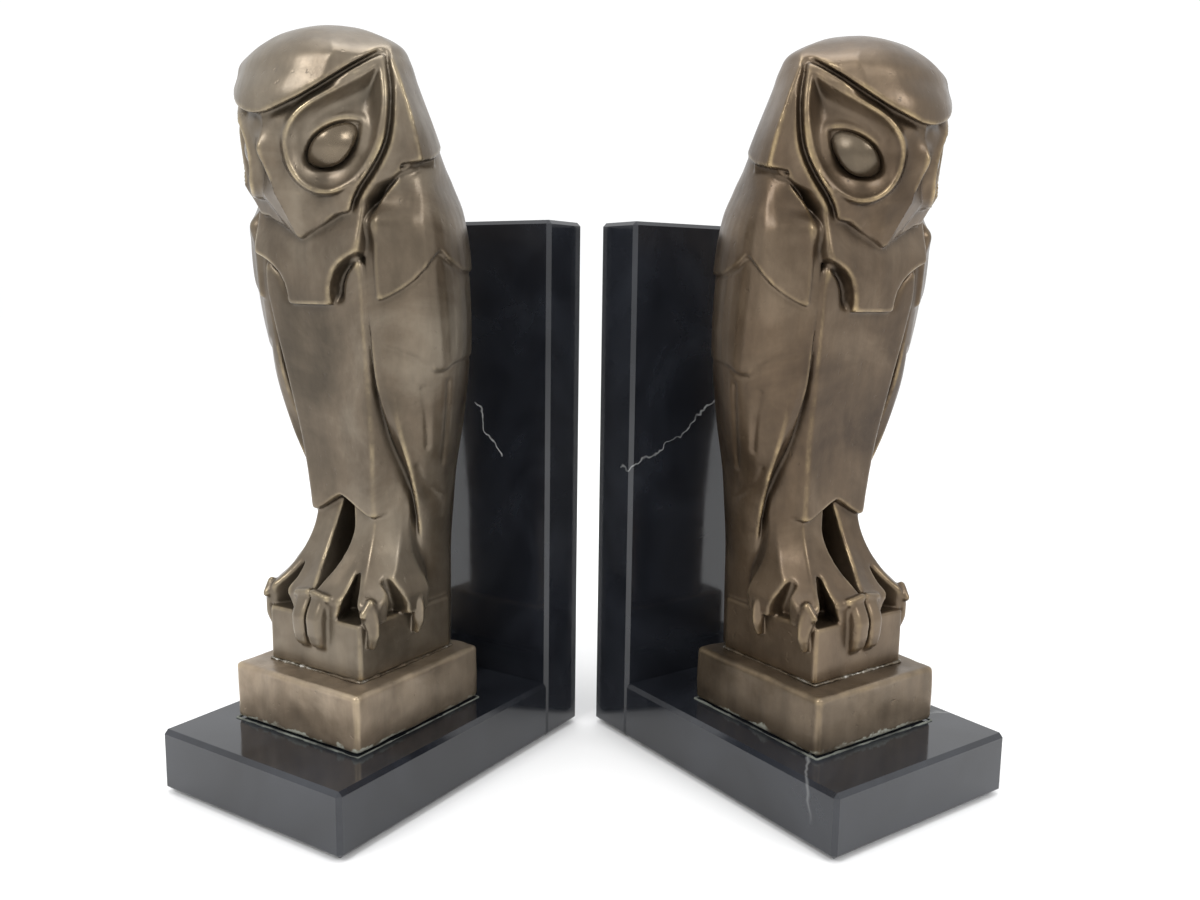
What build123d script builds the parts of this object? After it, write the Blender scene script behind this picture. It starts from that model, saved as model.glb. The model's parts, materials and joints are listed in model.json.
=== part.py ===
from build123d import *
import os
from math import cos, radians, sin

# A pair of book ends: two bronze owls on stepped plinths, each on an L of black marble.
# Both book ends are the same, so every piece is modelled once in the frame of one book end:
#   x across its width, y from the front of its base slab towards the books, z up from the stone's
#   underside, with x = 0 its plane of symmetry.
# The pieces are then placed as a left and a right book end whose backs meet in a V.

# ---- driving dimensions (mm) ----
SLAB_WIDTH = 78.0
SLAB_LENGTH = 120.0          # base slab and upright together
STONE = 20.0                 # thickness of the marble
UPRIGHT_HEIGHT = 182.0
ARRIS = 1.3                  # ground edges of the marble
GLUE = 0.3                   # adhesive film between the two slabs

PAIR_ANGLE = 33.5            # each book end is turned this far from the row's y axis
PAIR_HALF_SPACING = 102.0    # from the centre of the pair to each book end's front centre
FELT = 1.0
FELT_INSET = 4.0             # from the edge of the stone
FELT_CORNER = 4.0

DOWEL_RADIUS = 3.0
DOWEL_IN_BASE = 20.0
DOWEL_IN_UPRIGHT = 12.0
DOWEL_SPACING = 44.0
FIT_GAP = 0.1                # radial gap round dowels and bolts
DOWEL_TIP_GAP = 0.5          # hole beyond each end of a dowel
DOWEL_CHAMFER = 0.5

PLINTH_WIDTH = 54.0
PLINTH_LENGTH = 57.4
PLINTH_TOP = 39.0
PLINTH_FRONT = 19.3
PLINTH_WALL = 4.0
PLINTH_CORNER = 1.4          # soft upright edges of the casting
PLINTH_EDGE = 0.9            # soft edge round its top
CORE_CORNER = 3.0            # corners of the hollow under it
BEDDING = 0.4                # adhesive under the plinth
BEDDING_SQUEEZE = 1.2        # adhesive pressed out round the plinth
BEDDING_CORNER = 2.0
THIN_EDGE = 0.1              # blunt edge left on the adhesive

PERCH_WIDTH = 40.0
PERCH_LENGTH = 42.0
PERCH_FRONT = 28.2
PERCH_TOP = 57.0
SOLDER_LEG = 1.2
TAIL_FOOT_WIDTH = 37.4       # the bead stops where the tail meets the plinth
CORE_OPENING_Y = 66.0        # core opening under the tail
CORE_OPENING_RADIUS = 5.0
CORE_OPENING_LENGTH = 70.0
BEAD_TOP = 0.2               # width left on top of the solder bead

BOLT_RADIUS = 3.0
STONE_BOLT_GAP = 0.4         # the stone is drilled wider round the bolts
BOLT_TIP_GAP = 1.0
BOLT_POINT = 0.6             # chamfer of the bolt ends
BOLT_SPACING = 24.0
RECESS_RADIUS = 9.0
RECESS_DEPTH = 9.0
WASHER_RADIUS = 8.0
WASHER_THICKNESS = 1.2
HEAD_ACROSS_FLATS = 10.0
HEAD_HEIGHT = 4.0
BAR_WIDTH = 14.0
BAR_LENGTH = 42.0
BAR_THICKNESS = 6.0
BAR_CHAMFER = 1.0

EYE_CENTRE = (17.5, 22.7, 198.0)
EYE_FACING = (0.65, -0.76, 0.0)
EYE_RADIUS = 6.0
EYE_SET = 4.4                # from the plane of the face down to the seat of the eye
EYE_HEIGHT = 4.6
EYE_PEG_RADIUS = 1.8
EYE_PEG_LENGTH = 3.0
PEG_TIP_GAP = 0.4
EYE_RIM = 1.0                # straight part of the eye below its rounded front
BOWL_SPHERE = 20.0
BOWL_DEPTH = 3.6

plinth_centre = PLINTH_FRONT + PLINTH_LENGTH / 2
perch_centre = PERCH_FRONT + PERCH_LENGTH / 2
base_length = SLAB_LENGTH - STONE - GLUE
bar_top = PLINTH_TOP - PLINTH_WALL
bolt_tip = bar_top - BOLT_TIP_GAP

# ---- the owl's sections: (height, right-hand half of the outline from front to back) ----
TRUNK = (
    (92.0, ((0, 40.5), (13.5, 41), (16, 50), (23, 56), (22, 70), (12, 79), (0, 80))),
    (110.0, ((0, 38.5), (15.5, 39.5), (19, 46), (27, 52), (26, 69), (15, 80), (0, 81))),
    (130.0, ((0, 35.5), (17.5, 36), (22, 42), (32, 48), (32, 66), (18, 78), (0, 80))),
    (152.0, ((0, 32), (19.5, 31.5), (26, 36), (36, 45), (35, 63), (21, 75), (0, 77))),
    (170.0, ((0, 30), (21, 30), (28, 34), (36.5, 44), (36, 60), (22, 73), (0, 75))),
    (184.0, ((0, 31), (18, 31), (24, 34), (31, 42), (31, 58), (20, 70), (0, 72))),
)
HEAD = (
    (168.0, ((0, 31), (8, 33), (20, 38), (28, 46), (27, 58), (16, 68), (0, 70))),
    (185.0, ((0, 20), (11, 23), (23, 31), (34, 40), (33, 57), (22, 69), (0, 72))),
    (198.0, ((0, 12.6), (11, 17), (22, 27), (34, 37), (33, 54), (23, 67), (0, 70))),
    (207.0, ((0, 13), (12, 16), (22, 25), (32.5, 33), (32, 51), (22, 63), (0, 67))),
    (220.0, ((0, 14.5), (11, 15.5), (21, 20), (30, 29.5), (29, 46), (19, 58), (0, 62))),
    (229.0, ((0, 20), (9, 21), (16, 25), (23, 33), (21, 44), (14, 52), (0, 55))),
    (236.0, ((0, 29), (3, 29.5), (6, 32), (8, 36), (7, 40), (4, 43), (0, 44))),
)
BEAK = (
    (172.9, ((0, 26.6), (1.2, 27.6), (2, 32), (0, 34))),
    (184.0, ((0, 19.5), (7, 23), (10, 31), (0, 34))),
    (198.5, ((0, 12.4), (10, 17), (12, 28), (0, 34))),
)
BIB = (
    (153.5, ((0, 30.4), (8.5, 30.4), (8.5, 36), (0, 36))),
    (163.0, ((0, 28.6), (11, 28.8), (11, 36), (0, 36))),
    (175.0, ((0, 27.2), (19, 27.8), (19, 36), (0, 36))),
)
BROW = (
    (205.5, ((0, 13.0), (5, 16), (5, 24), (0, 24))),
    (213.0, ((0, 12.6), (14, 16), (12, 26), (0, 26))),
    (221.5, ((0, 14.0), (19, 16.5), (26, 24), (0, 30))),
)
TAIL = (
    (PLINTH_TOP, ((0, 58), (18.5, 58), (18.5, 70), (16, 75), (11, 76.3), (0, 76.3))),
    (75.0, ((0, 58), (18.5, 58), (18.5, 70), (16, 75.5), (11, 77), (0, 77))),
    (96.0, ((0, 58), (20, 58), (20, 71), (16, 77), (11, 79), (0, 79))),
)
CAVITY = (
    (97.0, ((0, 51), (9, 52), (14, 59), (14, 67), (9, 73), (0, 74))),
    (130.0, ((0, 40), (13, 42), (27, 52), (27, 64), (15, 73), (0, 75))),
    (165.0, ((0, 36), (14, 39), (29, 48), (29, 58), (18, 68), (0, 70))),
    (198.0, ((0, 33), (9, 36), (25, 44), (25, 55), (16, 63), (0, 65))),
    (223.0, ((0, 26), (6, 27), (14, 33), (13, 42), (8, 48), (0, 49))),
)
LEG = (
    (PERCH_TOP - 0.5, ((1.0, 31), (17.5, 30), (19.5, 40), (18.5, 55), (9, 59), (1.0, 52))),
    (66.0, ((1.6, 34.5), (14, 33.5), (17.2, 42), (16, 54), (9, 57), (2.0, 52))),
    (78.0, ((2.4, 42), (12, 41), (14.8, 46), (14, 54), (8, 56), (2.6, 53))),
    (94.0, ((1.6, 42.5), (12.5, 42), (15.2, 47), (15, 56), (8, 58), (1.8, 55))),
)
# each toe: outline points (along the toe, height) of its side view, hung over an edge of the perch
TOE_SIDE = ((9.0, 5.5), (9.0, -0.4), (-0.3, -0.4), (-0.3, -9.2), (-2.6, -9.6), (-4.4, -3.5), (-3.2, 4.4), (1.5, 8.6))
TOE_WIDTH = 5.4
FRONT_TOE_X = 3.1
SIDE_TOES_Y = (32.5, 51.5)


def mirrored(half):
    """A closed outline from its right-hand half."""
    return list(half) + [(-x, y) for x, y in reversed(half) if x > 0]


def shifted(points, side):
    """The outline on the owl's right (1) or left (-1)."""
    return [(side * x, y) for x, y in points]


# ---- marble ----
with BuildPart() as base_slab:
    with Locations((0, base_length / 2, STONE / 2)):
        Box(SLAB_WIDTH, base_length, STONE)
    seam_edges = base_slab.faces().sort_by(Axis.Y)[-1].edges()
    chamfer([e for e in base_slab.edges() if e not in seam_edges], ARRIS)
    with Locations(Location((0, plinth_centre, 0), (180, 0, 0))):
        with GridLocations(1, BOLT_SPACING, 1, 2):
            CounterBoreHole(BOLT_RADIUS + STONE_BOLT_GAP, RECESS_RADIUS, RECESS_DEPTH)
    with BuildSketch(Plane((0, base_length, STONE / 2), x_dir=(-1, 0, 0), z_dir=(0, 1, 0))):
        with GridLocations(DOWEL_SPACING, 1, 2, 1):
            Circle(DOWEL_RADIUS + FIT_GAP)
    extrude(amount=-(DOWEL_IN_BASE + DOWEL_TIP_GAP), mode=Mode.SUBTRACT)

with BuildPart() as upright_slab:
    with Locations((0, SLAB_LENGTH - STONE / 2, UPRIGHT_HEIGHT / 2)):
        Box(SLAB_WIDTH, STONE, UPRIGHT_HEIGHT)
    chamfer(upright_slab.edges(), ARRIS)
    with BuildSketch(Plane((0, SLAB_LENGTH - STONE, STONE / 2), x_dir=(1, 0, 0), z_dir=(0, -1, 0))):
        with GridLocations(DOWEL_SPACING, 1, 2, 1):
            Circle(DOWEL_RADIUS + FIT_GAP)
    extrude(amount=-(DOWEL_IN_UPRIGHT + DOWEL_TIP_GAP), mode=Mode.SUBTRACT)

with BuildPart() as slab_glue_film:
    with Locations((0, SLAB_LENGTH - STONE - GLUE / 2, STONE / 2)):
        Box(SLAB_WIDTH - 2 * ARRIS, GLUE, STONE - 2 * ARRIS)
    with BuildSketch(Plane((0, SLAB_LENGTH - STONE, STONE / 2), x_dir=(1, 0, 0), z_dir=(0, -1, 0))):
        with GridLocations(DOWEL_SPACING, 1, 2, 1):
            Circle(DOWEL_RADIUS + FIT_GAP)
    extrude(amount=GLUE, mode=Mode.SUBTRACT)

with BuildPart() as slab_dowels:
    dowel_face = Plane((0, SLAB_LENGTH - STONE - DOWEL_IN_BASE, STONE / 2), x_dir=(-1, 0, 0), z_dir=(0, 1, 0))
    with BuildSketch(dowel_face):
        with GridLocations(DOWEL_SPACING, 1, 2, 1):
            Circle(DOWEL_RADIUS)
    extrude(amount=DOWEL_IN_BASE + DOWEL_IN_UPRIGHT)
    chamfer(slab_dowels.edges().filter_by(GeomType.CIRCLE), DOWEL_CHAMFER)

with BuildPart() as felt_pad:
    with BuildSketch(Plane.XY.offset(-FELT)):
        with Locations((0, SLAB_LENGTH / 2)):
            RectangleRounded(SLAB_WIDTH - 2 * FELT_INSET, SLAB_LENGTH - 2 * FELT_INSET, FELT_CORNER)
    extrude(amount=FELT)

# ---- plinth and what fastens it ----
with BuildPart() as plinth_casting:
    plinth_foot = STONE + BEDDING
    with BuildSketch(Plane.XY.offset(plinth_foot)):
        with Locations((0, plinth_centre)):
            Rectangle(PLINTH_WIDTH, PLINTH_LENGTH)
    extrude(amount=PLINTH_TOP - plinth_foot)
    fillet(plinth_casting.edges().filter_by(Axis.Z), PLINTH_CORNER)
    fillet(plinth_casting.faces().sort_by(Axis.Z)[-1].edges(), PLINTH_EDGE)
    with BuildSketch(Plane.XY.offset(plinth_foot)):
        with Locations((0, plinth_centre)):
            RectangleRounded(PLINTH_WIDTH - 2 * PLINTH_WALL, PLINTH_LENGTH - 2 * PLINTH_WALL, CORE_CORNER)
    extrude(amount=bar_top - plinth_foot, mode=Mode.SUBTRACT)

bead_width = PLINTH_WIDTH + 2 * BEDDING_SQUEEZE
bead_length = PLINTH_LENGTH + 2 * BEDDING_SQUEEZE

with BuildPart() as plinth_bedding:
    with BuildSketch(Plane.XY.offset(STONE)):
        with Locations((0, plinth_centre)):
            RectangleRounded(bead_width, bead_length, BEDDING_CORNER)
    extrude(amount=BEDDING + BEDDING_SQUEEZE)
    chamfer(plinth_bedding.faces().sort_by(Axis.Z)[-1].edges(), BEDDING_SQUEEZE - THIN_EDGE)
    with BuildSketch(Plane.XY.offset(STONE + BEDDING)):
        with Locations((0, plinth_centre)):
            RectangleRounded(PLINTH_WIDTH, PLINTH_LENGTH, PLINTH_CORNER)
    extrude(amount=PLINTH_TOP, mode=Mode.SUBTRACT)
    with BuildSketch(Plane.XY.offset(STONE)):
        with Locations((0, plinth_centre)):
            RectangleRounded(PLINTH_WIDTH - 2 * PLINTH_WALL, PLINTH_LENGTH - 2 * PLINTH_WALL, CORE_CORNER)
    extrude(amount=PLINTH_TOP, mode=Mode.SUBTRACT)

with BuildPart() as anchor_bar:
    with BuildSketch(Plane.XY.offset(bar_top - BAR_THICKNESS)):
        with Locations((0, plinth_centre)):
            Rectangle(BAR_WIDTH, BAR_LENGTH)
            with GridLocations(1, BOLT_SPACING, 1, 2):
                Circle(BOLT_RADIUS + FIT_GAP, mode=Mode.SUBTRACT)
    extrude(amount=BAR_THICKNESS)
    chamfer(anchor_bar.edges().filter_by(Axis.Z), BAR_CHAMFER)

with BuildPart() as fixing_washers:
    with BuildSketch(Plane.XY.offset(RECESS_DEPTH - WASHER_THICKNESS)):
        with Locations((0, plinth_centre)):
            with GridLocations(1, BOLT_SPACING, 1, 2):
                Circle(WASHER_RADIUS)
                Circle(BOLT_RADIUS + FIT_GAP, mode=Mode.SUBTRACT)
    extrude(amount=WASHER_THICKNESS)

with BuildPart() as fixing_bolts:
    head_top = RECESS_DEPTH - WASHER_THICKNESS
    with BuildSketch(Plane.XY.offset(head_top)):
        with Locations((0, plinth_centre)):
            with GridLocations(1, BOLT_SPACING, 1, 2):
                RegularPolygon(HEAD_ACROSS_FLATS / 2, 6, major_radius=False)
    extrude(amount=-HEAD_HEIGHT)
    with BuildSketch(Plane.XY.offset(head_top)):
        with Locations((0, plinth_centre)):
            with GridLocations(1, BOLT_SPACING, 1, 2):
                Circle(BOLT_RADIUS)
    extrude(amount=bolt_tip - head_top)
    chamfer(fixing_bolts.faces().group_by(Axis.Z)[-1].edges(), BOLT_POINT)

# ---- owl ----
eye_planes = [
    Plane(origin=(side * EYE_CENTRE[0], EYE_CENTRE[1], EYE_CENTRE[2]),
          x_dir=(0, 0, 1), z_dir=(side * EYE_FACING[0], EYE_FACING[1], EYE_FACING[2]))
    for side in (1, -1)
]

with BuildPart() as owl_casting:
    # head, trunk with wings, beak, bib, brow and tail are drawn from flat sections one above another
    for sections in (TRUNK, HEAD, TAIL, BEAK, BIB, BROW):
        for height, half in sections:
            with BuildSketch(Plane.XY.offset(height)):
                Polygon(*mirrored(half), align=None)
        loft(ruled=True)
    # perch block
    with Locations((0, perch_centre, (PLINTH_TOP + PERCH_TOP) / 2)):
        Box(PERCH_WIDTH, PERCH_LENGTH, PERCH_TOP - PLINTH_TOP)
    # legs that flare into the feet
    for side in (1, -1):
        for height, outline in LEG:
            with BuildSketch(Plane.XY.offset(height)):
                Polygon(*shifted(outline, side), align=None)
        loft(ruled=True)
    # two toes of each foot hang over the side of the perch and one over its front
    for side in (1, -1):
        for toe_y in SIDE_TOES_Y:
            toe_start = (side * PERCH_WIDTH / 2, toe_y - side * TOE_WIDTH / 2, PERCH_TOP)
            with BuildSketch(Plane(toe_start, x_dir=(-side, 0, 0), z_dir=(0, side, 0))):
                Polygon(*TOE_SIDE, align=None)
            extrude(amount=TOE_WIDTH)
        front_start = (side * FRONT_TOE_X - TOE_WIDTH / 2, PERCH_FRONT, PERCH_TOP)
        with BuildSketch(Plane(front_start, x_dir=(0, 1, 0), z_dir=(1, 0, 0))):
            Polygon(*TOE_SIDE, align=None)
        extrude(amount=TOE_WIDTH)
    # grooves that part the wings from the chest panel
    for side in (1, -1):
        with BuildSketch(Plane.XY.offset(90)):
            Polygon(*shifted(((14.5, 30), (17.5, 30), (21, 46), (15, 50)), side), align=None)
        with BuildSketch(Plane.XY.offset(160)):
            Polygon(*shifted(((21.2, 24), (23.4, 24), (25, 38), (20.4, 36)), side), align=None)
        loft(ruled=True, mode=Mode.SUBTRACT)
    # bowls round the eyes, with a seat and a peg hole for each eye
    for eye_plane in eye_planes:
        with Locations(eye_plane.offset(BOWL_SPHERE - BOWL_DEPTH)):
            Sphere(BOWL_SPHERE, mode=Mode.SUBTRACT)
        with BuildSketch(eye_plane.offset(-EYE_SET)):
            Circle(EYE_RADIUS + FIT_GAP)
        extrude(amount=EYE_SET, mode=Mode.SUBTRACT)
        with BuildSketch(eye_plane.offset(-EYE_SET)):
            Circle(EYE_PEG_RADIUS + FIT_GAP)
        extrude(amount=-(EYE_PEG_LENGTH + PEG_TIP_GAP), mode=Mode.SUBTRACT)
    # the casting is hollow, and its core left an opening down through the tail
    for height, half in CAVITY:
        with BuildSketch(Plane.XY.offset(height)):
            Polygon(*mirrored(half), align=None)
    loft(ruled=True, mode=Mode.SUBTRACT)
    with BuildSketch(Plane.XY.offset(PLINTH_TOP)):
        with Locations((0, CORE_OPENING_Y)):
            Circle(CORE_OPENING_RADIUS)
    extrude(amount=CORE_OPENING_LENGTH, mode=Mode.SUBTRACT)

with BuildPart() as owl_eyes:
    for eye_plane in eye_planes:
        with BuildSketch(eye_plane.offset(-EYE_SET)):
            Circle(EYE_RADIUS)
        extrude(amount=EYE_HEIGHT)
        with BuildSketch(eye_plane.offset(-EYE_SET)):
            Circle(EYE_PEG_RADIUS)
        extrude(amount=-EYE_PEG_LENGTH)
    eye_fronts = [
        min(owl_eyes.edges().filter_by(GeomType.CIRCLE),
            key=lambda edge: (edge.arc_center - plane.offset(EYE_HEIGHT - EYE_SET).origin).length)
        for plane in eye_planes
    ]
    fillet(eye_fronts, EYE_HEIGHT - EYE_RIM)

with BuildPart() as perch_solder_bead:
    with Locations((0, perch_centre, PLINTH_TOP + SOLDER_LEG / 2)):
        Box(PERCH_WIDTH + 2 * SOLDER_LEG, PERCH_LENGTH + 2 * SOLDER_LEG, SOLDER_LEG)
    chamfer(perch_solder_bead.faces().sort_by(Axis.Z)[-1].edges(), SOLDER_LEG - BEAD_TOP)
    with Locations((0, perch_centre, PLINTH_TOP)):
        Box(PERCH_WIDTH, PERCH_LENGTH, 4 * SOLDER_LEG, mode=Mode.SUBTRACT)
    with BuildSketch(Plane.XY.offset(PLINTH_TOP)):
        with Locations((0, perch_centre + PERCH_LENGTH / 2)):
            Rectangle(TAIL_FOOT_WIDTH, PERCH_LENGTH / 2)
    extrude(amount=2 * SOLDER_LEG, mode=Mode.SUBTRACT)

# ---- labels, and the two places of every piece ----
base_slab.part.label = "base_slab"
upright_slab.part.label = "upright_slab"
slab_glue_film.part.label = "slab_glue_film"
slab_dowels.part.label = "slab_dowels"
felt_pad.part.label = "felt_pad"
plinth_casting.part.label = "plinth_casting"
plinth_bedding.part.label = "plinth_bedding"
anchor_bar.part.label = "anchor_bar"
fixing_washers.part.label = "fixing_washers"
fixing_bolts.part.label = "fixing_bolts"
owl_casting.part.label = "owl_casting"
owl_eyes.part.label = "owl_eyes"
perch_solder_bead.part.label = "perch_solder_bead"

# the origin is the middle of the pair's footprint, on the surface under the felt
pair_front = -SLAB_LENGTH / 2 * cos(radians(PAIR_ANGLE))
places = {
    "left": Location((-PAIR_HALF_SPACING, pair_front, FELT), (0, 0, -PAIR_ANGLE)),
    "right": Location((PAIR_HALF_SPACING, pair_front, FELT), (0, 0, PAIR_ANGLE)),
}
pieces = (
    base_slab, upright_slab, slab_glue_film, slab_dowels, felt_pad, plinth_casting, plinth_bedding,
    anchor_bar, fixing_washers, fixing_bolts, owl_casting, owl_eyes, perch_solder_bead,
)
os.makedirs("parts", exist_ok=True)
for piece in pieces:
    for side, place in places.items():
        placed = piece.part.moved(place)
        placed.label = f"{side}_{piece.part.label}"
        export_step(placed, f"parts/{placed.label}.step")
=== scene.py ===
import json
import math

import bpy
import numpy as np
from mathutils import Matrix, Vector


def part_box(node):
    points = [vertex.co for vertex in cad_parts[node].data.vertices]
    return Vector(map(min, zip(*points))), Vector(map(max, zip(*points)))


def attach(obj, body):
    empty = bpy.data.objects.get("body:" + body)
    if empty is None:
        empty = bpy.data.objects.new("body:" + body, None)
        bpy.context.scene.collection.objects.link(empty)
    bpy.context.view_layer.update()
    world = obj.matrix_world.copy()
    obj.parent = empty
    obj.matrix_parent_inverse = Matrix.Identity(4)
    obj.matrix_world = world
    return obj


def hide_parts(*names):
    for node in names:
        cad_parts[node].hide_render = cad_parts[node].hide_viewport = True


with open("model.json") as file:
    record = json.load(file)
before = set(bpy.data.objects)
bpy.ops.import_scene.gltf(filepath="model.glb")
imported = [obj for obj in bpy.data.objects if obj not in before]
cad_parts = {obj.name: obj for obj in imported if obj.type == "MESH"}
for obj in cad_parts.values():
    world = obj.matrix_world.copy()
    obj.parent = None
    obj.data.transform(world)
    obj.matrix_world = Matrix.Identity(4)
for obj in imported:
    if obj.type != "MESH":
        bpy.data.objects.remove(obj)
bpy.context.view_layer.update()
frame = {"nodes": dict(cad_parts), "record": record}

MM = 0.001
VOXEL = 0.5
STONE_TOP = 20.0
PLINTH_TOP = 39.0
HALF_LENGTH = 60.0           # from the front of a base slab to the middle of its footprint
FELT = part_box("left_felt_pad")[1][2] / MM

PI = np.pi


def smin(a, b, k):
    """The lesser of two fields, blended where they differ by less than k."""
    h = np.maximum(k - np.abs(a - b), 0) / k
    return np.minimum(a, b) - h * h * k / 4


def smax(a, b, k):
    return -smin(-a, -b, k)


def lerp_table(table, z):
    """Piecewise-smooth interpolation of a table ((z, value), ...)."""
    zs = np.array([row[0] for row in table], float)
    vs = np.array([row[1] for row in table], float)
    m = np.gradient(vs, zs, axis=0)
    zc = np.clip(z, zs[0], zs[-1])
    i = np.clip(np.searchsorted(zs, zc) - 1, 0, len(zs) - 2)
    h = zs[i + 1] - zs[i]
    t = (zc - zs[i]) / h
    shape = t.shape + (1,) * (vs.ndim - 1)
    t = t.reshape(shape)
    h = h.reshape(shape)
    return ((2 * t**3 - 3 * t**2 + 1) * vs[i] + (t**3 - 2 * t**2 + t) * h * m[i]
            + (-2 * t**3 + 3 * t**2) * vs[i + 1] + (t**3 - t**2) * h * m[i + 1])


def polygon_sd(px, py, xs, ys, closed=True):
    """Signed distance to a polygon, whose corners may be arrays that broadcast with px and py."""
    n = len(xs)
    d = None
    inside = None
    for i in range(n):
        j = (i + 1) % n
        if not closed and j == 0:
            break
        ex, ey = xs[j] - xs[i], ys[j] - ys[i]
        wx, wy = px - xs[i], py - ys[i]
        t = np.clip((wx * ex + wy * ey) / (ex * ex + ey * ey + 1e-9), 0, 1)
        dd = (wx - ex * t) ** 2 + (wy - ey * t) ** 2
        d = dd if d is None else np.minimum(d, dd)
        if closed:
            c1 = (ys[i] <= py) & (ys[j] > py) | (ys[j] <= py) & (ys[i] > py)
            cross = ex * wy - ey * wx
            flip = c1 & ((cross > 0) == (ey > 0))
            inside = flip if inside is None else inside ^ flip
    d = np.sqrt(d)
    return np.where(inside, -d, d) if closed else d


class Block:
    """A box of grid cells holding a field, negative inside the metal."""

    def __init__(self, lo, hi, h):
        self.h = h
        self.lo = np.array(lo, float)
        n = np.ceil((np.array(hi) - self.lo) / h).astype(int)
        self.x = (self.lo[0] + (np.arange(n[0]) + 0.5) * h).astype(np.float32)
        self.y = (self.lo[1] + (np.arange(n[1]) + 0.5) * h).astype(np.float32)
        self.z = (self.lo[2] + (np.arange(n[2]) + 0.5) * h).astype(np.float32)
        self.f = np.full(tuple(n), 5.0, np.float32)

    def part(self, lo, hi):
        """Index ranges and coordinates of a sub-box."""
        r = []
        for axis, values in enumerate((self.x, self.y, self.z)):
            a = int(np.searchsorted(values, lo[axis]))
            b = int(np.searchsorted(values, hi[axis]))
            r.append(slice(a, b))
        x, y, z = self.x[r[0]], self.y[r[1]], self.z[r[2]]
        return tuple(r), x[:, None, None], y[None, :, None], z[None, None, :]


def loft_sd(X, Y, Z, sections, k=1.0, half=True):
    """Horizontal outlines joined smoothly up the z axis. Half outlines carry on past x = 0."""
    P = lerp_table([(z, np.array(outline, float)) for z, outline in sections], Z.ravel())
    xs = [P[:, i, 0][None, None, :].astype(np.float32) for i in range(P.shape[1])]
    ys = [P[:, i, 1][None, None, :].astype(np.float32) for i in range(P.shape[1])]
    if half:
        past_seam = np.full_like(xs[0], -12.0)
        xs = [past_seam, *xs, past_seam]
        ys = [ys[0], *ys, ys[-1]]
    return smax(polygon_sd(X, Y, xs, ys), np.maximum(sections[0][0] - Z, Z - sections[-1][0]), k)


def capsule_sd(X, Y, Z, a, b, ra, rb):
    """A rounded rod from a to b, whose radius goes from ra to rb."""
    a = np.array(a, np.float32)
    ab = np.array(b, np.float32) - a
    t = ((X - a[0]) * ab[0] + (Y - a[1]) * ab[1] + (Z - a[2]) * ab[2]) / float(ab @ ab)
    t = np.clip(t, 0, 1)
    d = np.sqrt((X - a[0] - ab[0] * t) ** 2 + (Y - a[1] - ab[1] * t) ** 2 + (Z - a[2] - ab[2] * t) ** 2)
    return d - (ra + (rb - ra) * t)


def surface_nets(f, lo, h):
    """Vertices and quads of the zero level of a field sampled at cell centres."""
    nx, ny, nz = f.shape
    s = f < 0
    corners = [s[i:nx - 1 + i, j:ny - 1 + j, k:nz - 1 + k] for i in (0, 1) for j in (0, 1) for k in (0, 1)]
    count = np.zeros((nx - 1, ny - 1, nz - 1), np.int8)
    for c in corners:
        count += c
    act = (count > 0) & (count < 8)
    idx = np.full(act.shape, -1, np.int32)
    I, J, K = np.nonzero(act)
    idx[I, J, K] = np.arange(len(I))
    acc = np.zeros((len(I), 3))
    cnt = np.zeros(len(I))
    offs = [(0, 0, 0), (1, 0, 0), (0, 1, 0), (1, 1, 0), (0, 0, 1), (1, 0, 1), (0, 1, 1), (1, 1, 1)]
    edges = [(0, 1), (2, 3), (4, 5), (6, 7), (0, 2), (1, 3), (4, 6), (5, 7), (0, 4), (1, 5), (2, 6), (3, 7)]
    vals = [f[I + o[0], J + o[1], K + o[2]] for o in offs]
    for a, b in edges:
        va, vb = vals[a], vals[b]
        m = (va < 0) != (vb < 0)
        t = np.where(m, va / np.where(m, va - vb, 1), 0)
        oa, ob = np.array(offs[a], float), np.array(offs[b], float)
        acc += (oa + (ob - oa) * t[:, None]) * m[:, None]
        cnt += m
    v = np.stack([I, J, K], 1) + acc / cnt[:, None]
    verts = (np.array(lo) + (v + 0.5) * h).astype(np.float32)
    quads = []
    for axis in range(3):
        a = [slice(1, nx - 1), slice(1, ny - 1), slice(1, nz - 1)]
        b = list(a)
        a[axis] = slice(0, f.shape[axis] - 1)
        b[axis] = slice(1, f.shape[axis])
        sa, sb = s[tuple(a)], s[tuple(b)]
        E = np.nonzero(sa != sb)
        flip = sa[E]
        base = [places + (0 if way == axis else 1) for way, places in enumerate(E)]
        o1, o2 = [(1, 2), (2, 0), (0, 1)][axis]
        around = []
        for d1, d2 in ((0, 0), (1, 0), (1, 1), (0, 1)):
            c = list(base)
            c[o1] = c[o1] - d1
            c[o2] = c[o2] - d2
            around.append(idx[tuple(c)])
        q = np.stack(around, 1)
        q = np.where(flip[:, None], q, q[:, ::-1])
        quads.append(q)
    return verts, np.concatenate(quads)


# One owl's shape, in mm: x across, y towards the books, z up. Half is made, from the seam at x = 0.
# The middle of the eye, and the ways out of the face, along it and up it.
EYE = np.array([17.5, 22.7, 198.0])
FN = np.array([0.640, -0.749, -0.170])
FT = np.array([0.760, 0.650, 0.0])
FW = np.array([0.1105, -0.1292, 0.9854])

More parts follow.
